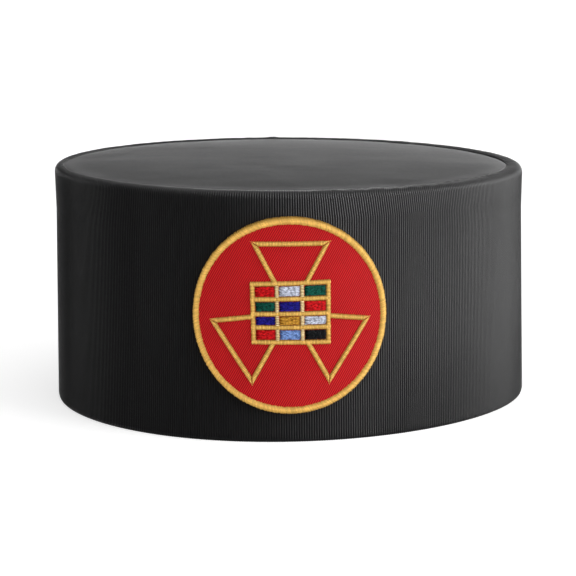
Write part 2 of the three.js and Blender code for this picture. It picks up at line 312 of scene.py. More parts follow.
class Parts:
    """Gathers closed skins and stitch paths, with their attributes, into one mesh."""

    def __init__(self):
        self.points = []
        self.faces = []
        self.edges = []
        self.marks = {}
        self.count = 0

    def _take(self, points, marks):
        points = np.asarray(points, float)
        flat = points.reshape(-1, 3)
        for name, values in marks.items():
            values = np.asarray(values, float)
            tail = (3,) if values.shape[-1:] == (3,) else ()
            spread = np.broadcast_to(values, points.shape[:-1] + tail).reshape((-1,) + tail)
            self.marks.setdefault(name, []).append((self.count, spread))
        start = self.count
        self.points.append(flat)
        self.count += len(flat)
        return start

    def add_skin(self, sections, closed=False, **marks):
        """Joins closed sections, an array of sections by points, into one skin that faces outwards."""
        sections = np.asarray(sections, float)
        many, around = sections.shape[:2]
        rows = np.arange(many if closed else many - 1)[:, None]
        columns = np.arange(around)[None, :]
        ahead = (rows + 1) % many
        beside = (columns + 1) % around
        quads = np.stack([rows * around + columns, rows * around + beside,
                          ahead * around + beside, ahead * around + columns], axis=-1).reshape(-1, 4)
        flat = sections.reshape(-1, 3) - sections.reshape(-1, 3).mean(axis=0)
        a, b, c, d = (flat[quads[:, corner]] for corner in range(4))
        volume = (np.cross(a, b) * c).sum() + (np.cross(a, c) * d).sum()
        if not closed:
            for ring, turned in ((flat[:around], 1), (flat[-around:], -1)):
                fan = np.cross(ring[1:-1], ring[2:]) @ ring[0]
                volume -= turned * fan.sum()
        caps = [] if closed else [list(range(around))[::-1], list(range((many - 1) * around, many * around))]
        faces = quads.tolist() + caps
        if volume < 0:
            faces = [face[::-1] for face in faces]
        start = self._take(sections, marks)
        self.faces.extend([start + corner for corner in face] for face in faces)

    def add_path(self, points, closed=False, **marks):
        """Adds a line of edges for stitches to follow."""
        start = self._take(points, marks)
        many = len(points)
        self.edges.extend((start + step, start + step + 1) for step in range(many - 1))
        if closed:
            self.edges.append((start + many - 1, start))

    def make(self, name):
        """Makes the object that carries the gathered mesh."""
        mesh = bpy.data.meshes.new(name)
        mesh.from_pydata(np.concatenate(self.points).tolist(), self.edges, self.faces)
        for mark, pieces in self.marks.items():
            vector = pieces[0][1].ndim == 2
            values = np.zeros((self.count, 3) if vector else self.count)
            for start, spread in pieces:
                values[start:start + len(spread)] = spread
            kind = "FLOAT_VECTOR" if vector else "FLOAT"
            attribute = mesh.attributes.new(mark, kind, "POINT")
            attribute.data.foreach_set("vector" if vector else "value", values.ravel())
        made = bpy.data.objects.new(name, mesh)
        bpy.context.scene.collection.objects.link(made)
        return made


# Nodes written as sums

class Wire:
    """A value that one node gives to others. Sums on it add Math nodes."""

    def __init__(self, graph, socket):
        self.graph = graph
        self.socket = socket

    def maths(self, operation, *values):
        """A Math node on these values."""
        return self.graph.add("ShaderNodeMath", {"operation": operation}, dict(enumerate(values)))

    def __add__(self, other):
        return self.maths("ADD", self, other)

    def __radd__(self, other):
        return self.maths("ADD", other, self)

    def __sub__(self, other):
        return self.maths("SUBTRACT", self, other)

    def __rsub__(self, other):
        return self.maths("SUBTRACT", other, self)

    def __mul__(self, other):
        return self.maths("MULTIPLY", self, other)

    def __rmul__(self, other):
        return self.maths("MULTIPLY", other, self)

    def __truediv__(self, other):
        return self.maths("DIVIDE", self, other)

    def __rtruediv__(self, other):
        return self.maths("DIVIDE", other, self)

    def __pow__(self, other):
        return self.maths("POWER", self, other)

    def __abs__(self):
        return self.maths("ABSOLUTE", self)

    def __gt__(self, other):
        return self.maths("GREATER_THAN", self, other)

    def sine(self):
        """The sine of the value in radians."""
        return self.maths("SINE", self)

    def cosine(self):
        """The cosine of the value in radians."""
        return self.maths("COSINE", self)

    def at_least(self, low):
        """The value, or low where the value is smaller."""
        return self.maths("MAXIMUM", self, low)

    def at_most(self, high):
        """The value, or high where the value is larger."""
        return self.maths("MINIMUM", self, high)


class Graph:
    """Adds nodes to one node tree and joins them."""

    def __init__(self, tree):
        self.tree = tree

    @staticmethod
    def find(sockets, name):
        """The socket in use that has this name or number."""
        if isinstance(name, int):
            return sockets[name]
        return next(socket for socket in sockets if socket.name == name and socket.enabled)

    def add(self, kind, settings=None, sockets=None, output=None):
        """Adds a node, with its settings first, then the values or links of its sockets."""
        node = self.tree.nodes.new(kind)
        for name, value in (settings or {}).items():
            setattr(node, name, value)
        for name, value in (sockets or {}).items():
            socket = self.find(node.inputs, name)
            if isinstance(value, Wire):
                self.tree.links.new(value.socket, socket)
            else:
                socket.default_value = value
        if not node.outputs:
            return None
        shown = [socket for socket in node.outputs if socket.enabled]
        return Wire(self, self.find(node.outputs, output) if output else shown[0])

    def vector(self, operation, *values, **named):
        """A Vector Math node on these values."""
        sockets = dict(enumerate(values))
        sockets.update(named)
        return self.add("ShaderNodeVectorMath", {"operation": operation}, sockets)

    def attribute(self, name, kind="FLOAT"):
        """A named attribute of the geometry."""
        return self.add("GeometryNodeInputNamedAttribute", {"data_type": kind}, {"Name": name})


def geometry_tree(name, inputs):
    """A geometry node tree with these named inputs, its graph, and the wire of each input."""
    tree = bpy.data.node_groups.new(name, "GeometryNodeTree")
    tree.interface.new_socket("Geometry", in_out="INPUT", socket_type="NodeSocketGeometry")
    tree.interface.new_socket("Geometry", in_out="OUTPUT", socket_type="NodeSocketGeometry")
    for title, kind in inputs.items():
        tree.interface.new_socket(title, in_out="INPUT", socket_type="NodeSocket" + kind)
    graph = Graph(tree)
    source = tree.nodes.new("NodeGroupInput")
    wires = {socket.name: Wire(graph, socket) for socket in source.outputs if socket.name}
    return tree, graph, wires


def close_tree(graph, geometry, material):
    """Ends a tree in Realize Instances and Set Material."""
    real = graph.add("GeometryNodeRealizeInstances", {}, {"Geometry": geometry})
    smooth = graph.add("GeometryNodeSetShadeSmooth", {}, {"Geometry": real, "Shade Smooth": True})
    dressed = graph.add("GeometryNodeSetMaterial", {}, {"Geometry": smooth, "Material": material})
    graph.add("NodeGroupOutput", {}, {0: dressed})


# A rib's section is a sine to this power, and its height varies in this many patches to the metre
RIB_POWER = 0.75
RIB_PATCHES = 60.0
# Keeps the puckers' noise apart from the ribs'
PUCKER_SEED = 7.3
# An edge is a crease where both of its ends are marked
BOTH_ENDS = 0.99


def ribbed_cloth_tree():
    """Raises ribs and seam puckers on a cloth skin, along its normals."""
    tree, graph, inputs = geometry_tree("ribbed_cloth", {
        "Rib Height": "Float", "Pucker Height": "Float", "Pucker Length": "Float",
        "Unevenness": "Float", "Seed": "Float", "Material": "Material",
    })
    rib = graph.attribute("rib")
    weight = graph.attribute("rib_weight")
    place = graph.add("GeometryNodeInputPosition")
    patchy = graph.add("ShaderNodeTexNoise", {"noise_dimensions": "4D"}, {
        "Vector": place, "W": inputs["Seed"], "Scale": RIB_PATCHES, "Detail": 2.0,
    })
    even = 1 - inputs["Unevenness"] * patchy
    ridge = abs((rib * math.pi).sine()) ** RIB_POWER * weight * even * inputs["Rib Height"]
    ruck = graph.add("ShaderNodeTexNoise", {"noise_dimensions": "4D"}, {
        "Vector": place, "W": inputs["Seed"] + PUCKER_SEED,
        "Scale": 1 / inputs["Pucker Length"], "Detail": 1.5,
    })
    pucker = (ruck - 0.5) * graph.attribute("pucker") * inputs["Pucker Height"]
    normal = graph.add("GeometryNodeInputNormal")
    offset = graph.vector("SCALE", normal, Scale=ridge + pucker)
    raised = graph.add("GeometryNodeSetPosition", {}, {"Geometry": inputs["Geometry"], "Offset": offset})
    creased = graph.add("GeometryNodeSetShadeSmooth", {"domain": "EDGE"}, {
        "Geometry": raised, "Selection": graph.attribute("crease") > BOTH_ENDS, "Shade Smooth": False,
    })
    close_tree(graph, creased, inputs["Material"])
    return tree


# Points along a thread, and round it
STITCH_STEPS = 7
STITCH_SIDES = 5
# The share of the full height that the shortest stitch or padding keeps
LOWEST_STITCH = 0.25
# The darkest shade of a stitch, and how far its length and its height vary, in shares of Uneven Size
DARKEST_STITCH = 0.6
VARIED_LENGTH = 0.6
VARIED_HEIGHT = 0.4


def stitches_tree():
    """Lays arched threads side by side along a mesh's paths, over the padding that it also holds."""
    tree, graph, inputs = geometry_tree("stitches", {
        "Pitch": "Float", "Stitch Length": "Float", "Stitch Height": "Float", "Thread Radius": "Float",
        "Flatness": "Float", "Uneven Turn": "Float", "Uneven Size": "Float", "Slide": "Float",
        "Seed": "Int", "Material": "Material",
    })
    step = graph.add("GeometryNodeInputIndex")
    angle = step * (math.pi / (STITCH_STEPS - 1))
    across = angle.cosine() * inputs["Stitch Length"] * -0.5
    up = abs(angle.sine()) ** inputs["Flatness"] * inputs["Stitch Height"]
    line = graph.add("GeometryNodeMeshLine", {}, {"Count": STITCH_STEPS})
    arched = graph.add("GeometryNodeSetPosition", {}, {
        "Geometry": line, "Position": graph.add("ShaderNodeCombineXYZ", {}, {"X": across, "Z": up}),
    })
    crowned = graph.add("GeometryNodeStoreNamedAttribute", {"data_type": "FLOAT", "domain": "POINT"}, {
        "Geometry": arched, "Name": "crown", "Value": abs(angle.sine()),
    })
    spine = graph.add("GeometryNodeMeshToCurve", {}, {"Mesh": crowned})
    round_section = graph.add("GeometryNodeCurvePrimitiveCircle", {}, {
        "Resolution": STITCH_SIDES, "Radius": inputs["Thread Radius"],
    })
    thread = graph.add("GeometryNodeCurveToMesh", {}, {
        "Curve": spine, "Profile Curve": round_section, "Fill Caps": True,
    })

    on_path = graph.attribute("stitch_path") > 0.5
    path = graph.add("GeometryNodeMeshToCurve", {}, {"Mesh": inputs["Geometry"], "Selection": on_path})
    places = graph.add("GeometryNodeResampleCurve", {"mode": "LENGTH"}, {
        "Curve": path, "Length": inputs["Pitch"],
    })
    outward = graph.attribute("outward", "FLOAT_VECTOR")
    thread_way = graph.attribute("across", "FLOAT_VECTOR")

    def random(low, high, seed):
        return graph.add("FunctionNodeRandomValue", {"data_type": "FLOAT"}, {
            "Min": low, "Max": high, "Seed": inputs["Seed"] + seed,
        })

    slide = graph.vector("SCALE", thread_way,
                         Scale=random(-1.0, 1.0, 1) * graph.attribute("loose") * inputs["Slide"])
    slid = graph.add("GeometryNodeSetPosition", {}, {"Geometry": places, "Offset": slide})
    upright = graph.add("FunctionNodeAxesToRotation", {"primary_axis": "Z", "secondary_axis": "X"}, {
        "Primary Axis": outward, "Secondary Axis": thread_way,
    })
    wobble = graph.add("ShaderNodeCombineXYZ", {}, {"Z": random(-1.0, 1.0, 2) * inputs["Uneven Turn"]})
    turned = graph.add("FunctionNodeRotateRotation", {"rotation_space": "LOCAL"}, {
        "Rotation": upright,
        "Rotate By": graph.add("FunctionNodeEulerToRotation", {}, {"Euler": wobble}),
    })
    span = graph.attribute("span") / inputs["Stitch Length"]
    lift = (LOWEST_STITCH + (1 - LOWEST_STITCH) * span).at_most(1.0)
    size = graph.add("ShaderNodeCombineXYZ", {}, {
        "X": span * (1 + random(-VARIED_LENGTH, VARIED_LENGTH, 3) * inputs["Uneven Size"]),
        "Y": 1.0,
        "Z": lift * (1 + random(-VARIED_HEIGHT, VARIED_HEIGHT, 4) * inputs["Uneven Size"]),
    })
    laid = graph.add("GeometryNodeInstanceOnPoints", {}, {
        "Points": slid, "Instance": thread, "Rotation": turned, "Scale": size,
    })
    shaded = graph.add("GeometryNodeStoreNamedAttribute", {"data_type": "FLOAT", "domain": "INSTANCE"}, {
        "Geometry": laid, "Name": "shade", "Value": random(DARKEST_STITCH, 1.0, 5),
    })
    marked = graph.add("GeometryNodeStoreNamedAttribute", {"data_type": "FLOAT", "domain": "INSTANCE"}, {
        "Geometry": shaded, "Name": "short", "Value": (1 - span).at_least(0.0),
    })
    # The padding carries no shade mark, so the thread material paints it in its shade colour, as painted
    # shade between the threads
    padding = graph.add("GeometryNodeSeparateGeometry", {}, {
        "Geometry": inputs["Geometry"], "Selection": on_path,
    }, output="Inverted")
    joined = graph.tree.nodes.new("GeometryNodeJoinGeometry")
    graph.tree.links.new(marked.socket, joined.inputs[0])
    graph.tree.links.new(padding.socket, joined.inputs[0])
    close_tree(graph, Wire(graph, joined.outputs[0]), inputs["Material"])
    return tree


def tree_of(name, maker):
    """The tree of this name, made once."""
    return bpy.data.node_groups.get(name) or maker()


def dress(base, tree, values, name, nodes):
    """Runs a tree on a base object and leaves a plain mesh, which stands for these CAD nodes, if any."""
    modifier = base.modifiers.new(tree.name, "NODES")
    modifier.node_group = tree
    identifiers = {item.name: item.identifier for item in tree.interface.items_tree
                   if item.in_out == "INPUT"}
    for title, value in values.items():
        modifier[identifiers[title]] = value
    bpy.context.view_layer.update()
    made = bpy.data.meshes.new_from_object(base.evaluated_get(bpy.context.evaluated_depsgraph_get()))
    if not made.polygons:
        raise RuntimeError(f"{name} came out empty")
    bare = base.data
    bpy.data.objects.remove(base)
    bpy.data.meshes.remove(bare)
    piece = bpy.data.objects.new(name, made)
    made.name = name
    bpy.context.scene.collection.objects.link(piece)
    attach(piece, "root")
    if nodes:
        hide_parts(*nodes)
    return piece


# Materials

def bare_material(name):
    """An empty procedural material and its graph."""
    material = bpy.data.materials.new(name)
    material.use_nodes = True
    material.node_tree.nodes.clear()
    return material, Graph(material.node_tree)


def mark(graph, name):
    """A number that the mesh carries, for a material."""
    return graph.add("ShaderNodeAttribute", {"attribute_name": name}, output="Fac")


def blend_colour(graph, factor, low, high):
    """A colour between two others."""
    return graph.add("ShaderNodeMix", {"data_type": "RGBA"}, {
        "Factor": factor, "A": low if isinstance(low, Wire) else (*low[:3], 1),
        "B": high if isinstance(high, Wire) else (*high[:3], 1),
    })


def noise(graph, size, detail=2.0, stretch=(1, 1, 1)):
    """Noise on Object coordinates, whose grain is a size in metres, pulled out along an axis."""
    place = graph.add("ShaderNodeTexCoord", output="Object")
    pulled = graph.vector("MULTIPLY", place, tuple(1 / (size * pull) for pull in stretch))
    return graph.add("ShaderNodeTexNoise", {}, {"Vector": pulled, "Scale": 1.0, "Detail": detail})


# Ribbed cloth: how fast a rib's painted shade deepens towards its valley, how far the threads shade it, the
# grain and depth of the uneven dye, how much rougher the valleys are and the threads make it, and the
# threads' relief
RIB_SHADE_POWER = 1.5
THREAD_SHADE = 0.3
DYE_GRAIN = 9 * MM
DYE_DEPTH = 0.25
VALLEY_ROUGHNESS = 0.45
THREAD_ROUGHNESS = 0.16
THREAD_RELIEF = 0.06 * MM


def ribbed_material(name, crest, valley_shade_and_dye, grain, fibre, roughness, specular, sheen):
    """Cloth whose ribs are in its mesh: painted shade in the valleys, uneven dye and a fine grain of threads.
    """
    material, graph = bare_material(name)
    profile = abs((mark(graph, "rib") * math.pi).sine()) ** RIB_SHADE_POWER
    painted_light_share = 1 - mark(graph, "rib_weight") * (1 - profile)
    cloudy = noise(graph, DYE_GRAIN, 3.0)
    threads = noise(graph, grain, 2.0, fibre)
    # Painted shade: the colour darkens from each rib's crest to its valley, where shade falls, and the
    # threads' grain varies it
    base = blend_colour(graph, painted_light_share * (1 - THREAD_SHADE + THREAD_SHADE * threads), valley_shade_and_dye, crest)
    tinted = blend_colour(graph, cloudy * DYE_DEPTH, base, valley_shade_and_dye)
    bump = graph.add("ShaderNodeBump", {}, {
        "Height": threads, "Strength": 0.5, "Distance": THREAD_RELIEF,
    })
    shader = graph.add("ShaderNodeBsdfPrincipled", {}, {
        "Base Color": tinted,
        "Roughness": roughness + VALLEY_ROUGHNESS * (1 - painted_light_share) ** 2 + THREAD_ROUGHNESS * (threads - 0.5),
        "Normal": bump, "Specular IOR Level": specular, "Sheen Weight": sheen, "Sheen Roughness": 0.3,
    })
    graph.add("ShaderNodeOutputMaterial", {}, {"Surface": shader})
    return material


# Embroidery thread: how near its ends a stitch takes painted shade and how much, the grain, level and
# sharpness of the painted shade in the pits between stitches, the grain, shade and relief of the twist, and
# the colours of painted shade and of the shine
END_POWER = 2.6
END_PAINTED_SHADE = 0.85
PIT_GRAIN = 0.5 * MM
PIT_STRETCH = (1.9, 1.9, 1)
PIT_LEVEL = 0.56
PIT_SHARPNESS = 4.5
TWIST_GRAIN = 0.25 * MM
TWIST_LEAST = 0.85
TWIST_SHADE = 0.4
TWIST_RELIEF = 0.05 * MM
SMOOTHEST_THREAD = 0.4
TWIST_ROUGHNESS = 0.15
SHADE_LEVEL = 0.3
SHADE_POWER = 1.4
SHINE_WHITE = 0.3


def thread_material(name, lit, specular, pit_shade_strength, pale=None):
    """Shiny embroidery thread: each stitch has its own shade and a fine twist, and painted shade at its ends
    and in the pits between stitches.
    """
    material, graph = bare_material(name)
    shade = mark(graph, "shade")
    # Painted shade at each stitch's ends, where the thread dives into the cloth, spared on short stitches
    edge = 1 - mark(graph, "crown") ** END_POWER
    # Painted shade in random patches, for the pits between stitches where shade falls
    patches = noise(graph, PIT_GRAIN, 1.0, PIT_STRETCH)
    pit_shade = (PIT_SHARPNESS * (PIT_LEVEL - patches)).at_least(0.0).at_most(1.0)
    # The painted shade colour, a darker, deeper copy of the lit colour
    painted_shade_colour = tuple(SHADE_LEVEL * channel**SHADE_POWER for channel in lit)
    shine = tuple(SHINE_WHITE + (1 - SHINE_WHITE) * channel / max(lit) for channel in lit)
    twist = noise(graph, TWIST_GRAIN, 1.0)
    ends = 1 - END_PAINTED_SHADE * edge * (1 - mark(graph, "short"))
    painted_light_share = shade * ends * (TWIST_LEAST + TWIST_SHADE * twist) * (1 - pit_shade_strength * pit_shade)
    full = blend_colour(graph, mark(graph, "tone"), lit, pale) if pale else lit
    # Each thread runs from painted shade to its lit colour; padding carries no shade mark and so takes the
    # painted shade between the threads
    colour_of_thread = blend_colour(graph, painted_light_share, painted_shade_colour, full)
    bump = graph.add("ShaderNodeBump", {}, {"Height": twist, "Strength": 0.4, "Distance": TWIST_RELIEF})
    shader = graph.add("ShaderNodeBsdfPrincipled", {}, {
        "Base Color": colour_of_thread, "Normal": bump,
        "Roughness": SMOOTHEST_THREAD + TWIST_ROUGHNESS * twist,
        "Specular IOR Level": specular, "Specular Tint": (*shine, 1),
    })
    graph.add("ShaderNodeOutputMaterial", {}, {"Surface": shader})
    return material


# The crown

# The mesh's columns to a rib, its steps round the roll, the seam's edge and the hem's fold, and its rows on
# the crest, in shares of the crest's width
RIB_COLUMNS = 4
ROLL_STEPS = 5
SEAM_STEPS = 2
HEM_STEPS = 2
CREST_SHARES = (0.35, 0.7)
# Depth and width of the back seam's groove, and height and width of the swell beside it
SEAM_GROOVE = 0.2 * MM
GROOVE_WIDTH = 0.4 * MM
SEAM_SWELL = 0.35 * MM
SWELL_WIDTH = 2 * MM
# The ribs' weight on the hem's fold, how much of it they lose up the roll, and the shares of the roll from
# which ribs fade and puckers start
HEM_RIBS = 0.3
ROLL_RIBS_LOST = 0.3
ROLL_RIBS_FROM = 0.2
PUCKERS_FROM = 0.3
# The first row above the hem, in radii of its fold
FIRST_ROW = 2.5
# How far the crest and the panel's seam lie below the top of the roll
CREST_DROP = 0.12 * MM
SEAM_DROP = 0.3 * MM
# How far and how deep below the roll the ribs lean, and the angles between which they do
RIB_LEAN = 1.6 * MM
LEAN_REACH = 4 * MM
LEANING = (0.0, 0.25, 0.8, 1.3)
# The share of the puckers that the rim keeps at other angles
LEAST_PUCKER = 0.25
# The grain of the grosgrain's threads, and how far they are pulled out along a rib
GROSGRAIN_GRAIN = 0.22 * MM
GROSGRAIN_PULL = 2.2

# A row of the band's section: its stand and height, its share of the rim's crest, how far it faces out and
# up, and the weight of the ribs and of the puckers on it
Row = namedtuple("Row", "stand height crest out up ribs puckers")


def quarter(first, steps):
    """A quarter turn from an angle in degrees, as cosines and sines."""
    angles = np.radians(np.linspace(first, first + 90, steps + 1))
    return [(math.cos(angle), math.sin(angle)) for angle in angles]


def band_section(surface):
    """The band's section from the hem up the outside, over the rim and down the inside."""
    sizes = surface.sizes
    rim_stand, rim_height = surface.rim_middle()
    hem, seam, roll = sizes.hem_round, sizes.seam_round, sizes.rim_radius
    inside = -sizes.wall - sizes.hem_step
    rows = [Row(inside + hem * (1 + out), hem * (1 + up), 0, 0, 0, 0, 0)
            for out, up in quarter(180, HEM_STEPS)]
    rows += [Row(hem * (out - 1), hem * (1 + up), 0, 1, 0, HEM_RIBS, 0)
             for out, up in quarter(270, HEM_STEPS)]
    flare = sizes.flare_height
    for height in (FIRST_ROW * hem, rim_height / 2, rim_height - flare, rim_height - flare / 2):
        rows.append(Row(surface.stand(height), height, 0, 1, 0, 1, 0))
    for step, (out, up) in enumerate(quarter(0, ROLL_STEPS)):
        over = step / ROLL_STEPS
        ribs = 1 - ROLL_RIBS_LOST * float(smoothstep(over, ROLL_RIBS_FROM, 1))
        rows.append(Row(rim_stand + roll * out, rim_height + roll * up, 0, out, up, ribs,
                        float(smoothstep(over, PUCKERS_FROM, 1))))
    rows += [Row(rim_stand + seam * share, sizes.height - CREST_DROP * share, share, 0, 1, 1, 1)
             for share in CREST_SHARES]
    rows += [Row(rim_stand + seam * (1 + out), sizes.height - SEAM_DROP - seam * (1 - up), 1, 0, up, 1, 1)
             for out, up in quarter(90, SEAM_STEPS)]
    rows += [Row(rim_stand, rim_height + roll * up, -out, 0, 0, 0, 0) for out, up in quarter(180, ROLL_STEPS)]
    turned_in = sizes.hem_turn
    for height in (rim_height - flare, rim_height / 2, turned_in + sizes.hem_step):
        rows.append(Row(surface.stand(height) - sizes.wall, height, 0, 0, 0, 0, 0))
    rows.append(Row(surface.stand(turned_in) + inside, turned_in, 0, 0, 0, 0, 0))
    return Row(*np.array(rows, float).T[:, None, :])


def seam_offset(distance):
    """How far the cloth stands out near the back seam, at a distance from it along the band."""
    groove = SEAM_GROOVE * np.exp(-((distance / GROOVE_WIDTH) ** 2))
    swell = SEAM_SWELL * np.exp(-((distance / SWELL_WIDTH) ** 2))
    return swell - groove


class CAP_OT_crown_wall(Operator):
    """Makes the ribbed band with its rolled rim, hem and back seam"""

    bl_idname = "cap.crown_wall"
    bl_label = "Crown Wall"

    def execute(self, context):
        """Lofts the band round the crown and raises its ribs."""
        looks = context.scene.cap_cloth
        surface = surface_of(context.scene)
        sizes = surface.sizes
        ribs = round(surface.girth / looks.rib_pitch)
        columns = np.arange(ribs * RIB_COLUMNS)
        distance = (columns / len(columns) - 0.5) * surface.girth
        turn = surface.turn_at(distance)[:, None]
        row = band_section(surface)
        near_rim = smoothstep(row.height, surface.rim_middle()[1] - LEAN_REACH, sizes.height)
        facing = between(turn, *LEANING)
        leaning = turn - RIB_LEAN / sizes.half_depth * near_rim * facing * row.out
        from_seam = (distance - sizes.seam_aside) % surface.girth - surface.girth / 2
        seam = seam_offset(from_seam)[:, None]
        sections = surface.point(leaning, row.stand + seam * row.out, row.height + seam * row.up, row.crest)
        parts = Parts()
        parts.add_skin(sections, closed=True, rib=(columns / RIB_COLUMNS)[:, None], rib_weight=row.ribs,
                       pucker=row.puckers * (LEAST_PUCKER + (1 - LEAST_PUCKER) * facing),
                       crease=(columns % RIB_COLUMNS == 0)[:, None])
        cloth = ribbed_material("black_grosgrain", looks.black, looks.valley_shade_and_dye, GROSGRAIN_GRAIN,
                                (1, 1, GROSGRAIN_PULL), roughness=0.37, specular=0.5, sheen=0.42)
        dress(parts.make("band"), tree_of("ribbed_cloth", ribbed_cloth_tree), {
            "Rib Height": looks.rib_height, "Pucker Height": 1.3 * MM, "Pucker Length": 3.5 * MM,
            "Unevenness": 0.5, "Seed": 3.0, "Material": cloth,
        }, "crown_band", ["crown_wall"])
        return {"FINISHED"}


# The mesh's columns above and below, and its rows to a rib
PANEL_COLUMNS = 40
UNDER_COLUMNS = 10
ROWS_PER_RIB = 3
# Between the panel's edge and the rim
PANEL_GAP = 0.1 * MM
# The panel's edge is found from this many angles on each side
EDGE_ANGLES = 3601
# How far the panel's edge turns down, from which share of its reach, and how much of that is at the front
# and is added at the back and between two angles at the viewer's right
EDGE_TURN = 0.25 * MM
EDGE_FROM = 0.975
FRONT_TURN = 0.4
BACK_TURN = 0.6
BESIDE_TURN = 0.4
BEHIND = (1.35, 1.75)
BESIDE = (0.5, 0.9, 1.2, 1.4)
# How much of the panel's sinking its front edge is spared
FRONT_SPARED = 0.85
# The shares of the reach over which the ribs weaken and the puckers grow towards the edge, how much the ribs
# lose there, the puckers' share in the middle and what the edge adds, and the ribs' height against the band's
EDGE_SHARES = (0.9, 0.985)
EDGE_RIBS_LOST = 0.3
PANEL_PUCKERS = 0.3
EDGE_PUCKERS = 0.4
PANEL_RIBS = 0.5


class CAP_OT_top_panel(Operator):
    """Makes the slightly domed top panel, whose ribs run from side to side"""

    bl_idname = "cap.top_panel"
    bl_label = "Top Panel"

    def execute(self, context):
        """Lofts rows of cloth from the front to the back of the panel."""
        looks = context.scene.cap_cloth
        surface = surface_of(context.scene)
        sizes = surface.sizes
        edge_stand = surface.rim_middle()[0] - PANEL_GAP
        half_turn = np.linspace(0, math.pi, EDGE_ANGLES)
        right = surface.point(half_turn, edge_stand, sizes.height, 1)
        left = surface.point(-half_turn, edge_stand, sizes.height, 1)
        front = right[0, 1]
        ribs = round((right[-1, 1] - front) / looks.rib_pitch)
        pitch = (right[-1, 1] - front) / ribs
        deep = front + (np.arange(ribs * ROWS_PER_RIB) + 0.5) * pitch / ROWS_PER_RIB
        rightmost = np.interp(deep, right[:, 1], right[:, 0])
        leftmost = np.interp(deep, left[:, 1], left[:, 0])

        def rows(many, sink):
            spread = -np.cos(np.linspace(0, math.pi, many))
            across = ((leftmost + rightmost) / 2)[:, None] + ((rightmost - leftmost) / 2)[:, None] * spread
            from_middle = across - surface.shift[0]
            back = np.broadcast_to(deep[:, None], across.shape) - surface.shift[1]
            turn = np.arctan2(from_middle, -back)
            out = np.hypot(from_middle, back) / surface.reach(turn, edge_stand, 1)
            up = sizes.height * (1 - sizes.tilt / sizes.height * from_middle / sizes.half_width)
            behind = smoothstep(np.abs(turn), *BEHIND)
            up = up + sizes.panel_dome * (1 - out**3) - sink
            up = up - sizes.panel_sink * (1 - FRONT_SPARED * (1 - behind) * out**2)
            if not sink:
                pressed = EDGE_TURN * (FRONT_TURN + BACK_TURN * behind + BESIDE_TURN * between(turn, *BESIDE))
                up = up - pressed * np.clip((out - EDGE_FROM) / (1 - EDGE_FROM), 0, 1) ** 2
            return np.stack([across, back + surface.shift[1], up], axis=-1), out

        top, out = rows(PANEL_COLUMNS, 0)
        under, _ = rows(UNDER_COLUMNS, sizes.panel_thickness)
        sections = np.concatenate([top, under[:, ::-1]], axis=1)
        edge_out = smoothstep(out, *EDGE_SHARES)
        plain = np.zeros(under.shape[:2])
        weight = np.concatenate([1 - EDGE_RIBS_LOST * edge_out, plain], axis=1)
        pucker = np.concatenate([PANEL_PUCKERS + EDGE_PUCKERS * edge_out, plain], axis=1)
        parts = Parts()
        parts.add_skin(sections, rib=((deep - front) / pitch)[:, None], rib_weight=weight, pucker=pucker,
                       crease=np.zeros(1))
        cloth = ribbed_material("black_grosgrain_top", looks.black, looks.valley_shade_and_dye, GROSGRAIN_GRAIN,
                                (GROSGRAIN_PULL, 1, 1), roughness=0.46, specular=0.5, sheen=0.03)
        dress(parts.make("panel"), tree_of("ribbed_cloth", ribbed_cloth_tree), {
            "Rib Height": PANEL_RIBS * looks.rib_height, "Pucker Height": 0.5 * MM, "Pucker Length": 11 * MM,
            "Unevenness": 0.6, "Seed": 11.0, "Material": cloth,
        }, "crown_top", ["top_panel"])
        return {"FINISHED"}


# The badge

# The mesh's rows to a line of the twill, and its columns
TWILL_ROWS = 4
TWILL_COLUMNS = 40
# How far the ground's edge stays inside the badge's, as a share of the border's width
GROUND_INSET = 0.75


class CAP_OT_badge_ground(Operator):
    """Makes the badge's ground cloth, a disc of diagonal twill bent round the band"""

    bl_idname = "cap.badge_ground"
    bl_label = "Badge Ground"

    def execute(self, context):
        """Lofts the disc along the twill's lines."""
        looks = context.scene.cap_cloth
        badge = context.scene.cap_badge
        surface = surface_of(context.scene)
        gap = surface.sizes.gap
        radius = badge.diameter / 2 - GROUND_INSET * badge.border_width
        lines = round(2 * radius / looks.twill_pitch)
        aside = ((np.arange(lines * TWILL_ROWS) + 0.5) / (lines * TWILL_ROWS) * 2 - 1) * radius
        half = np.sqrt(radius**2 - aside**2)
        way = np.array([math.cos(looks.twill_angle), math.sin(looks.twill_angle)])
        side = np.array([-way[1], way[0]])

        def rows(many):
            spread = -np.cos(np.linspace(0, math.pi, many))
            return (half[:, None] * spread)[..., None] * way + aside[:, None, None] * side

        top = rows(TWILL_COLUMNS)
        under = rows(UNDER_COLUMNS)[:, ::-1]
        sections = np.concatenate([
            surface.bend(top, gap + badge.ground), surface.bend(under, gap),
        ], axis=1)
        weight = np.concatenate([np.ones(top.shape[:2]), np.zeros(under.shape[:2])], axis=1)
        parts = Parts()
        parts.add_skin(sections, rib=((aside + radius) / (2 * radius) * lines)[:, None],
                       rib_weight=weight, pucker=np.zeros(1), crease=np.zeros(1))
        cloth = ribbed_material("red_twill", looks.red, looks.red_valley_shade_and_dye, 0.3 * MM, (1, 1, 1),
                                roughness=0.6, specular=0.15, sheen=0.0)
        dress(parts.make("ground"), tree_of("ribbed_cloth", ribbed_cloth_tree), {
            "Rib Height": looks.twill_height, "Pucker Height": 0.0, "Pucker Length": 5 * MM,
            "Unevenness": 0.4, "Seed": 5.0, "Material": cloth,
        }, "badge_twill", ["badge_ground"])
        return {"FINISHED"}


# Points on the padding's section
PADDING_SIDES = 7
# The padding's reach to each side and its height, in shares of the threads', and the power of its section
PADDING_REACH = 0.46
PADDING_HEIGHT = 0.92
PADDING_POWER = 0.8


def unit(vector):
    """The vector at length one."""
    return vector / np.linalg.norm(vector, axis=-1, keepdims=True)


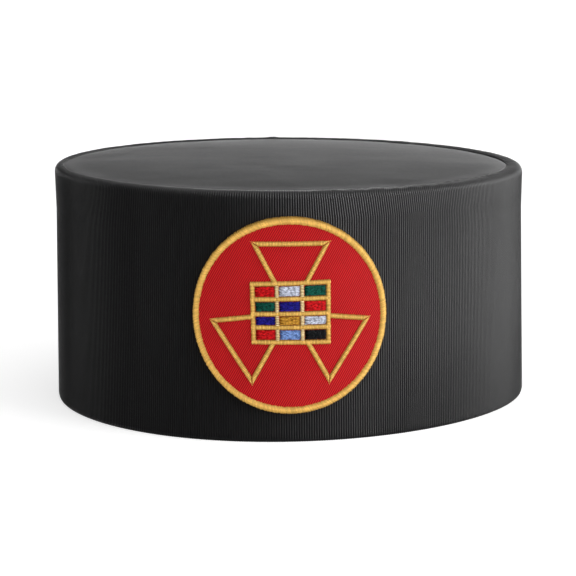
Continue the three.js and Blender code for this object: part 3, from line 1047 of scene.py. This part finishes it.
def add_satin(parts, surface, flat, way, span, layer, height, closed=False, tone=0.0, loose=0.0):
    """Adds a padded ridge and the path of the threads that cross it.

    flat: the middle of each thread, way: the flat direction that it runs, span: how far it runs."""
    flat = np.asarray(flat, float)
    way = np.broadcast_to(way, flat.shape)
    span = np.broadcast_to(span, flat.shape[:1])
    across = surface.along(flat, way)
    outward = surface.outward(flat)
    middle = surface.bend(flat, layer)
    angles = np.linspace(0, math.pi, PADDING_SIDES)
    wide = PADDING_REACH * span[:, None] * np.cos(angles)
    full = np.clip(span / span.max(), LOWEST_STITCH, 1)[:, None]
    high = PADDING_HEIGHT * height * full * np.sin(angles) ** PADDING_POWER
    sections = middle[:, None] + across[:, None] * wide[..., None] + outward[:, None] * high[..., None]
    parts.add_skin(sections, closed=closed, stitch_path=0.0, across=across[:, None], outward=outward[:, None],
                   span=span[:, None], loose=0.0, tone=tone)
    parts.add_path(middle, closed=closed, stitch_path=1.0, across=across, outward=outward, span=span,
                   loose=loose, tone=tone)


def lay_stitches(parts, name, nodes, slot, material, **values):
    """Turns gathered padding and paths into one embroidered piece."""
    settings = {"Flatness": 1.0, "Uneven Turn": math.radians(3), "Uneven Size": 0.08, "Slide": 0.0, "Seed": 1}
    settings.update({title.replace("_", " ").title(): value for title, value in values.items()})
    settings["Material"] = material
    dress(parts.make(name + "_base"), tree_of("stitches", stitches_tree), settings, name, nodes)


def thread_of(scene, name):
    """The material of the threads of one colour, made once."""
    made = bpy.data.materials.get(f"{name}_stitches")
    if made:
        return made
    lit = getattr(scene.cap_threads, name)
    if name == "gold":
        return thread_material("gold_stitches", lit, specular=0.8, pit_shade_strength=0.15, pale=scene.cap_threads.pale)
    return thread_material(f"{name}_stitches", lit, specular=0.35, pit_shade_strength=0.9)


# Places round the border, and how far its threads stand off the radius
BORDER_STEPS = 240
BORDER_SLANT = math.radians(18)
# How much shorter than its place a thread's arch is, in thread radii, on the border and elsewhere
BORDER_TRIM = 0.4
STROKE_TRIM = 1.4


class CAP_OT_badge_border(Operator):
    """Overlocks the badge's edge with slanted threads"""

    bl_idname = "cap.badge_border"
    bl_label = "Badge Border"

    def execute(self, context):
        """Lays the padding and the threads round the badge."""
        badge = context.scene.cap_badge
        surface = surface_of(context.scene)
        middle = (badge.diameter - badge.border_width) / 2
        angle = np.linspace(0, FULL_TURN, BORDER_STEPS, endpoint=False)
        flat = middle * np.stack([np.cos(angle), np.sin(angle)], axis=-1)
        slanted = angle + BORDER_SLANT
        way = np.stack([np.cos(slanted), np.sin(slanted)], axis=-1)
        span = (badge.border_width - BORDER_TRIM * badge.border_thread) / math.cos(BORDER_SLANT)
        parts = Parts()
        add_satin(parts, surface, flat, way, np.full(BORDER_STEPS, span), surface.sizes.gap,
                  badge.border_height, closed=True, loose=1.0)
        lay_stitches(parts, "badge_overlock", ["badge_border"], "gold_thread",
                     thread_of(context.scene, "gold"), pitch=badge.border_pitch, stitch_length=span,
                     stitch_height=badge.border_height, thread_radius=badge.border_thread,
                     flatness=0.9, uneven_size=0.1, slide=0.06 * MM, seed=21)
        return {"FINISHED"}


def polar(badge, reach, at):
    """A flat point at a share of the badge's radius and an angle in degrees."""
    angle = math.radians(at)
    return np.array([math.cos(angle), math.sin(angle)]) * reach * badge.diameter / 2


def over_plate(badge, flat):
    """Moves plate work from a true rectangle to the plate's own four corners."""
    flat = np.asarray(flat, float)
    right = (flat[..., 0] / badge.plate_width + 0.5)[..., None]
    high = ((flat[..., 1] - badge.plate_rise) / badge.plate_height + 0.5)[..., None]
    corners = {name: np.array(corner) for name, corner in PLATE_CORNERS.items()}
    blend = (corners["bottom_left"] * (1 - right) * (1 - high) + corners["bottom_right"] * right * (1 - high)
             + corners["top_left"] * (1 - right) * high + corners["top_right"] * right * high)
    return blend * np.array([badge.plate_width, badge.plate_height]) / 2 + np.array([0, badge.plate_rise])


def under_plate(badge, flat, cover):
    """True for flat points that the plate covers, where its edge hides this much of a stroke's end."""
    half = np.array([badge.plate_width, badge.plate_height]) / 2 - cover
    signs = ((-1, -1), (1, -1), (1, 1), (-1, 1))
    ring = over_plate(badge, [half * sign + (0, badge.plate_rise) for sign in signs])
    inside = np.ones(len(flat), bool)
    for start, end in zip(ring, np.roll(ring, -1, axis=0)):
        edge = end - start
        inside &= edge[0] * (flat[:, 1] - start[1]) - edge[1] * (flat[:, 0] - start[0]) > 0
    return inside


# The shortest thread at a mitred corner, and the places along a side's mitres and its middle
SHORTEST_THREAD = 0.15 * MM
MITRE_PLACES = 7
SIDE_PLACES = 24


def stroke_side(badge, corners, first):
    """The threads of one side of a triangle: their middles, spans and way, mitred at both corners."""
    start, end, third = (corners[(first + step) % 3] for step in range(3))
    reach = np.linalg.norm(end - start)
    ahead = (end - start) / reach
    out = np.array([ahead[1], -ahead[0]])
    if (third - start) @ out > 0:
        out = -out
    half = badge.stroke_width / 2

    def slope(corner, one, other):
        angle = math.acos(unit(one - corner) @ unit(other - corner))
        return math.tan(angle / 2)

    rise_first = slope(start, end, third)
    rise_second = slope(end, start, third)
    low = -(half - SHORTEST_THREAD) / rise_first
    high = reach + (half - SHORTEST_THREAD) / rise_second
    full_from = half / rise_first
    full_to = reach - half / rise_second
    along = np.unique(np.concatenate([
        np.linspace(low, full_from, MITRE_PLACES),
        np.linspace(full_from, full_to, SIDE_PLACES),
        np.linspace(full_to, high, MITRE_PLACES),
    ]))
    inner = np.maximum(-half, np.maximum(-along * rise_first, -(reach - along) * rise_second))
    span = half - inner
    middle = start + along[:, None] * ahead + ((half + inner) / 2)[:, None] * out
    return middle, np.maximum(span, SHORTEST_THREAD), out


# How far the triangles' strokes reach in under the plate
STROKE_TUCK = 1.2 * MM


class CAP_OT_badge_triangles(Operator):
    """Stitches the three triangles in satin strokes"""

    bl_idname = "cap.badge_triangles"
    bl_label = "Badge Triangles"

    def execute(self, context):
        """Lays each triangle's strokes up to the breastplate's edge."""
        badge = context.scene.cap_badge
        surface = surface_of(context.scene)
        layer = surface.sizes.gap + badge.ground
        for order, triangle in enumerate(TRIANGLES):
            corners = [polar(badge, *SHARED_CORNER), polar(badge, *triangle.first),
                       polar(badge, *triangle.second)]
            parts = Parts()
            for first in range(3):
                middle, span, out = stroke_side(badge, corners, first)
                shown = ~under_plate(badge, middle, STROKE_TUCK)
                middle, span = middle[shown], span[shown]
                add_satin(parts, surface, middle, out, span - STROKE_TRIM * badge.thread, layer,
                          badge.stroke_height)
            lay_stitches(parts, f"badge_strokes_{triangle.side}", [f"badge_triangle_{triangle.side}"],
                         "gold_thread", thread_of(context.scene, "gold"), pitch=badge.thread_pitch,
                         stitch_length=badge.stroke_width - 2 * badge.thread,
                         stitch_height=badge.stroke_height, thread_radius=badge.thread, seed=31 + order)
        return {"FINISHED"}


Pane = namedtuple("Pane", "row column left right bottom top colour")


def plate_panes(badge):
    """The window of each stone, on the true rectangle."""
    uprights = (len(COLUMN_SHARES) - 1) * badge.upright_width
    clear_width = badge.plate_width - 2 * badge.bar_width - uprights
    clear_height = badge.plate_height - (len(ROW_SHARES) + 1) * badge.bar_width
    panes = []
    top = badge.plate_rise + badge.plate_height / 2 - badge.bar_width
    for row, (row_share, colours) in enumerate(zip(ROW_SHARES, STONES), start=1):
        bottom = top - clear_height * row_share
        left = -badge.plate_width / 2 + badge.bar_width
        for column, (column_share, name) in enumerate(zip(COLUMN_SHARES, colours), start=1):
            right = left + clear_width * column_share
            panes.append(Pane(row, column, left, right, bottom, top, name))
            left = right + badge.upright_width
        top = bottom - badge.bar_width
    return panes


def line_between(start, end, step=1.2 * MM):
    """Evenly spaced flat points from one to another."""
    start, end = np.array(start), np.array(end)
    many = max(2, math.ceil(np.linalg.norm(end - start) / step) + 1)
    return start + np.linspace(0, 1, many)[:, None] * (end - start)


# How far the ends of the plate's bars stay inside its edge
BAR_INSET = 0.4 * MM
# Heights of the plate's sides and uprights, in shares of a bar's
SIDE_HEIGHT = 0.9
UPRIGHT_HEIGHT = 0.6


class CAP_OT_breastplate(Operator):
    """Stitches the breastplate's bars and uprights"""

    bl_idname = "cap.breastplate"
    bl_label = "Breastplate"

    def execute(self, context):
        """Lays the bars across and the uprights between them."""
        badge = context.scene.cap_badge
        surface = surface_of(context.scene)
        layer = surface.sizes.gap + badge.ground
        panes = plate_panes(badge)
        parts = Parts()

        def stroke(start, end, way, width, height, tone=0.0):
            flat = over_plate(badge, line_between(start, end))
            span = np.full(len(flat), width - STROKE_TRIM * badge.thread)
            add_satin(parts, surface, flat, way, span, layer, height, tone=tone)

        half_width = badge.plate_width / 2
        half_bar = badge.bar_width / 2
        bottom = badge.plate_rise - badge.plate_height / 2
        top = bottom + badge.plate_height
        levels = [top - half_bar] + [pane.bottom - half_bar for pane in panes if pane.column == 1]
        for level in levels:
            stroke((BAR_INSET - half_width, level), (half_width - BAR_INSET, level), (0, 1), badge.bar_width,
                   badge.stroke_height)
        for side in (-1, 1):
            across = side * (half_width - half_bar)
            stroke((across, bottom + half_bar), (across, top - half_bar), (1, 0), badge.bar_width,
                   SIDE_HEIGHT * badge.stroke_height)
        for pane in panes:
            if pane.column < len(COLUMN_SHARES):
                across = pane.right + badge.upright_width / 2
                stroke((across, pane.bottom), (across, pane.top), (1, 0), badge.upright_width,
                       UPRIGHT_HEIGHT * badge.stroke_height, tone=1.0)
        lay_stitches(parts, "breastplate_bars", ["breastplate_frame"], "gold_thread",
                     thread_of(context.scene, "gold"), pitch=badge.thread_pitch,
                     stitch_length=badge.bar_width - 2 * badge.thread, stitch_height=badge.stroke_height,
                     thread_radius=badge.thread, seed=41)
        return {"FINISHED"}


# How far each line of stitches in a stone starts from its edge, in stitch lengths, line after line
STONE_STAGGER = (0.0, 0.35, 0.12, 0.45, 0.22)
# The padding's gap to its window, the width of its rounded rim, and the height halfway up that, as a share
STONE_INSET = 0.1 * MM
STONE_ROUND = 0.3 * MM
STONE_SHOULDER = 0.7
STONE_COLUMNS = 8
# The lines' distance and the threads' radius, in shares of the badge's own, the distance between stitches,
# in stitch lengths, and how loose the first and last stitch of a line are
STONE_LINES = 0.8
STONE_THREAD = 0.9
STONE_PITCH = 0.6
END_LOOSENESS = 0.35


class CAP_OT_stones(Operator):
    """Fills each window of the breastplate with rows of coloured stitches"""

    bl_idname = "cap.stones"
    bl_label = "Stones"

    def execute(self, context):
        """Pads each window and covers it with stitches that run across."""
        badge = context.scene.cap_badge
        surface = surface_of(context.scene)
        layer = surface.sizes.gap + badge.ground
        for pane in plate_panes(badge):
            parts = Parts()
            left, right = pane.left + STONE_INSET, pane.right - STONE_INSET
            bottom, top = pane.bottom + STONE_INSET, pane.top - STONE_INSET
            high = badge.stone_height
            steps = ((0, 0), (STONE_ROUND / 3, STONE_SHOULDER * high), (STONE_ROUND, high))
            rim = [(bottom + step, out) for step, out in steps]
            rim += [(top - step, out) for step, out in reversed(steps)]
            slab = []
            for across in np.linspace(left, right, STONE_COLUMNS):
                slab.append([surface.bend(over_plate(badge, (across, up)), layer + out) for up, out in rim])
            parts.add_skin(slab, stitch_path=0.0, across=(1, 0, 0), outward=(0, 0, 1), span=0.0, loose=0.0,
                           tone=0.0)
            lines = max(3, round((top - bottom) / (STONE_LINES * badge.thread_pitch)))
            for line in range(lines):
                level = bottom + (line + 0.5) * (top - bottom) / lines
                ends = badge.stone_stitch / 2 - STONE_INSET
                ahead = ends + STONE_STAGGER[line % len(STONE_STAGGER)] * badge.stone_stitch
                flat = over_plate(badge, line_between((left + ahead, level), (right - ends, level)))
                inward = np.ones(len(flat))
                inward[[0, -1]] = END_LOOSENESS
                parts.add_path(surface.bend(flat, layer + STONE_SHOULDER * high), stitch_path=1.0,
                               across=surface.along(flat, (1, 0)), outward=surface.outward(flat),
                               span=badge.stone_stitch, loose=inward, tone=0.0)
            name = f"stone_fill_r{pane.row}c{pane.column}"
            lay_stitches(parts, name, [f"stone_r{pane.row}c{pane.column}"], f"{pane.colour}_thread",
                         thread_of(context.scene, pane.colour),
                         pitch=STONE_PITCH * badge.stone_stitch, stitch_length=badge.stone_stitch,
                         stitch_height=0.32 * MM, thread_radius=STONE_THREAD * badge.thread, flatness=0.5,
                         uneven_size=0.2, uneven_turn=math.radians(5), slide=0.45 * MM,
                         seed=50 + 3 * pane.row + pane.column)
        return {"FINISHED"}


# The hem

# How far below the turned-in cloth's edge the stitches run, and their length and distance
HEM_STITCH_INSET = 3 * MM
HEM_STITCH_LENGTH = 2.4 * MM
HEM_STITCH_PITCH = 3.6 * MM
HEM_STITCH_PLACES = 360


class CAP_OT_hem_stitches(Operator):
    """Sews the turned-in hem down inside the band with a line of small stitches"""

    bl_idname = "cap.hem_stitches"
    bl_label = "Hem Stitches"

    def execute(self, context):
        """Lays one line of stitches all round the inside."""
        badge = context.scene.cap_badge
        surface = surface_of(context.scene)
        sizes = surface.sizes
        height = sizes.hem_turn - HEM_STITCH_INSET
        turn = np.linspace(0, FULL_TURN, HEM_STITCH_PLACES, endpoint=False)
        line = surface.point(turn, surface.stand(height) - sizes.wall - sizes.hem_step, height)
        ahead = unit(np.roll(line, -1, axis=0) - np.roll(line, 1, axis=0))
        inward = unit(np.cross((0, 0, 1), ahead))
        parts = Parts()
        parts.add_path(line, closed=True, stitch_path=1.0, across=ahead, outward=inward,
                       span=HEM_STITCH_LENGTH, loose=0.0, tone=0.0)
        lay_stitches(parts, "hem_stitches", [], "black_thread", thread_of(context.scene, "black"),
                     pitch=HEM_STITCH_PITCH, stitch_length=HEM_STITCH_LENGTH, stitch_height=0.25 * MM,
                     thread_radius=badge.thread, flatness=0.5, uneven_size=0.2,
                     uneven_turn=math.radians(4), seed=71)
        return {"FINISHED"}


# The studio

# Soft boxes: bearing from the front towards the viewer's right and elevation in degrees, distance, width and
# height in metres, brightness, and whether matt and glossy surfaces take their light
SoftBox = namedtuple("SoftBox", "name bearing elevation distance width height brightness matt glossy")
SOFT_BOXES = (
    SoftBox("key", 62, 28, 1.5, 1.1, 1.3, 2.7, True, True),
    SoftBox("top", 175, 62, 1.6, 1.7, 1.7, 0.5, False, True),
    SoftBox("side", 75, 8, 1.5, 0.9, 1.3, 7.3, False, True),
    SoftBox("rim", 50, 60, 1.6, 1.3, 1.3, 1.6, False, True),
    SoftBox("back", 158, 11.5, 2.2, 2.6, 0.6, 3.1, False, True),
    SoftBox("left", -150, 6, 2.2, 1.6, 0.4, 2.5, False, True),
)

# The even light round the cap: its middle strength, how much it grows towards one side, and the bearing,
# level share and upward share of that side
WORLD_LIGHT = 0.58
WORLD_SLOPE = 0.4
WORLD_BEARING = math.radians(35)
WORLD_LEVEL = 0.82
WORLD_RISE = 0.57
# The floor's two shades and the size of their patches, its glow, its sides and its depth below the hem
FLOOR_COLOUR = (0.82, 0.82, 0.82)
FLOOR_SHADE = (0.79, 0.79, 0.79)
FLOOR_GRAIN = 0.4
FLOOR_MIX = 0.1
FLOOR_GLOW = 0.5
FLOOR_SIDES = 96
FLOOR_DEPTH = 0.05 * MM


def floor_material():
    """A pale matt floor with a faint unevenness."""
    material, graph = bare_material("pale_floor")
    tone = blend_colour(graph, noise(graph, FLOOR_GRAIN) * FLOOR_MIX, FLOOR_COLOUR, FLOOR_SHADE)
    shader = graph.add("ShaderNodeBsdfPrincipled", {}, {
        "Base Color": tone, "Roughness": 0.9, "Specular IOR Level": 0.0,
        "Emission Color": (1, 1, 1, 1), "Emission Strength": FLOOR_GLOW,
    })
    graph.add("ShaderNodeOutputMaterial", {}, {"Surface": shader})
    return material


def add_floor(studio):
    """A wide round floor, just below the hem."""
    turns = np.linspace(0, FULL_TURN, FLOOR_SIDES, endpoint=False)
    mesh = bpy.data.meshes.new("floor")
    ring = [(studio.floor_radius * math.cos(turn), studio.floor_radius * math.sin(turn), -FLOOR_DEPTH)
            for turn in turns]
    mesh.from_pydata(ring, [], [list(range(len(ring)))])
    mesh.materials.append(floor_material())
    floor = bpy.data.objects.new("floor", mesh)
    floor.visible_glossy = False
    bpy.context.scene.collection.objects.link(floor)


def add_soft_box(box, target):
    """An area light that faces the cap."""
    bearing, elevation = math.radians(box.bearing), math.radians(box.elevation)
    back = Vector((math.sin(bearing) * math.cos(elevation), -math.cos(bearing) * math.cos(elevation),
                   math.sin(elevation)))
    light = bpy.data.lights.new(box.name, "AREA")
    light.shape = "RECTANGLE"
    light.size = box.width
    light.size_y = box.height
    light.energy = box.brightness * math.pi * box.width * box.height
    lamp = bpy.data.objects.new(box.name, light)
    lamp.location = target + back * box.distance
    lamp.rotation_mode = "QUATERNION"
    lamp.rotation_quaternion = back.to_track_quat("Z", "Y")
    lamp.visible_diffuse = box.matt
    lamp.visible_glossy = box.glossy
    bpy.context.scene.collection.objects.link(lamp)


def add_world():
    """Even light for matt surfaces, a little stronger on one side, and white behind everything."""
    world = bpy.data.worlds.new("studio")
    world.use_nodes = True
    world.node_tree.nodes.clear()
    graph = Graph(world.node_tree)
    seen = graph.add("ShaderNodeLightPath", output="Is Camera Ray")
    way = graph.add("ShaderNodeTexCoord", output="Generated")
    side = (WORLD_LEVEL * math.sin(WORLD_BEARING), -WORLD_LEVEL * math.cos(WORLD_BEARING), WORLD_RISE)
    light = WORLD_LIGHT + WORLD_SLOPE * graph.vector("DOT_PRODUCT", way, side)
    backdrop = graph.add("ShaderNodeBackground", {}, {
        "Color": (1, 1, 1, 1), "Strength": light.at_least(seen),
    })
    graph.add("ShaderNodeOutputWorld", {}, {"Surface": backdrop})
    world.cycles_visibility.glossy = False
    bpy.context.scene.world = world


def add_camera(studio, target):
    """The photograph's camera."""
    camera = bpy.data.cameras.new("camera")
    camera.lens = studio.lens
    camera.sensor_width = 36
    camera.clip_start = 0.05
    camera.clip_end = 200
    eye = bpy.data.objects.new("camera", camera)
    back = Vector((0, -math.cos(studio.elevation), math.sin(studio.elevation)))
    turn = (Matrix.Rotation(math.pi / 2 - studio.elevation, 4, "X") @ Matrix.Rotation(studio.pan, 4, "Y")
            @ Matrix.Rotation(studio.pitch, 4, "X") @ Matrix.Rotation(studio.roll, 4, "Z"))
    eye.matrix_world = Matrix.Translation(target + back * studio.distance) @ turn
    bpy.context.scene.collection.objects.link(eye)
    bpy.context.scene.camera = eye


class CAP_OT_studio(Operator):
    """Sets the pale floor, the soft boxes and the camera"""

    bl_idname = "cap.studio"
    bl_label = "Studio"

    def execute(self, context):
        """Builds the stage round the cap's middle."""
        surface = surface_of(context.scene)
        target = Vector(surface.shift) + Vector((0, 0, surface.sizes.height / 2))
        studio = context.scene.cap_studio
        add_floor(studio)
        for box in SOFT_BOXES:
            add_soft_box(box, target)
        add_world()
        add_camera(studio, target)
        context.scene.view_settings.view_transform = "Standard"
        return {"FINISHED"}


OPERATORS = (
    CAP_OT_studio,
    CAP_OT_crown_wall,
    CAP_OT_top_panel,
    CAP_OT_badge_ground,
    CAP_OT_badge_border,
    CAP_OT_badge_triangles,
    CAP_OT_breastplate,
    CAP_OT_stones,
    CAP_OT_hem_stitches,
)


class CAP_PT_pieces(Panel):
    """Lists the cap's pieces and their sizes."""

    bl_idname = "CAP_PT_pieces"
    bl_label = "Crown Cap"
    bl_space_type = "VIEW_3D"
    bl_region_type = "UI"
    bl_category = "Cap"

    def draw(self, context):
        """Draws a button for each piece, then the sizes and colours."""
        for operator in OPERATORS:
            self.layout.operator(operator.bl_idname)
        for attribute, group in PROPERTY_GROUPS.items():
            box = self.layout.box()
            for name in group.__annotations__:
                box.prop(getattr(context.scene, attribute), name)


PROPERTY_GROUPS = {
    "cap_crown": CapCrownSizes,
    "cap_cloth": CapClothLooks,
    "cap_badge": CapBadgeSizes,
    "cap_threads": CapThreadColours,
    "cap_studio": CapStudio,
}


def register():
    """Registers the property groups, the operators and the panel."""
    for attribute, group in PROPERTY_GROUPS.items():
        bpy.utils.register_class(group)
        setattr(bpy.types.Scene, attribute, PointerProperty(type=group))
    for operator in OPERATORS:
        bpy.utils.register_class(operator)
    bpy.utils.register_class(CAP_PT_pieces)


def unregister():
    """Takes away what register adds."""
    bpy.utils.unregister_class(CAP_PT_pieces)
    for operator in reversed(OPERATORS):
        bpy.utils.unregister_class(operator)
    for attribute, group in PROPERTY_GROUPS.items():
        delattr(bpy.types.Scene, attribute)
        bpy.utils.unregister_class(group)


def main():
    """Makes every piece in order."""
    register()
    for operator in OPERATORS:
        family, name = operator.bl_idname.split(".")
        getattr(getattr(bpy.ops, family), name)()


if __name__ == "__main__":
    main()
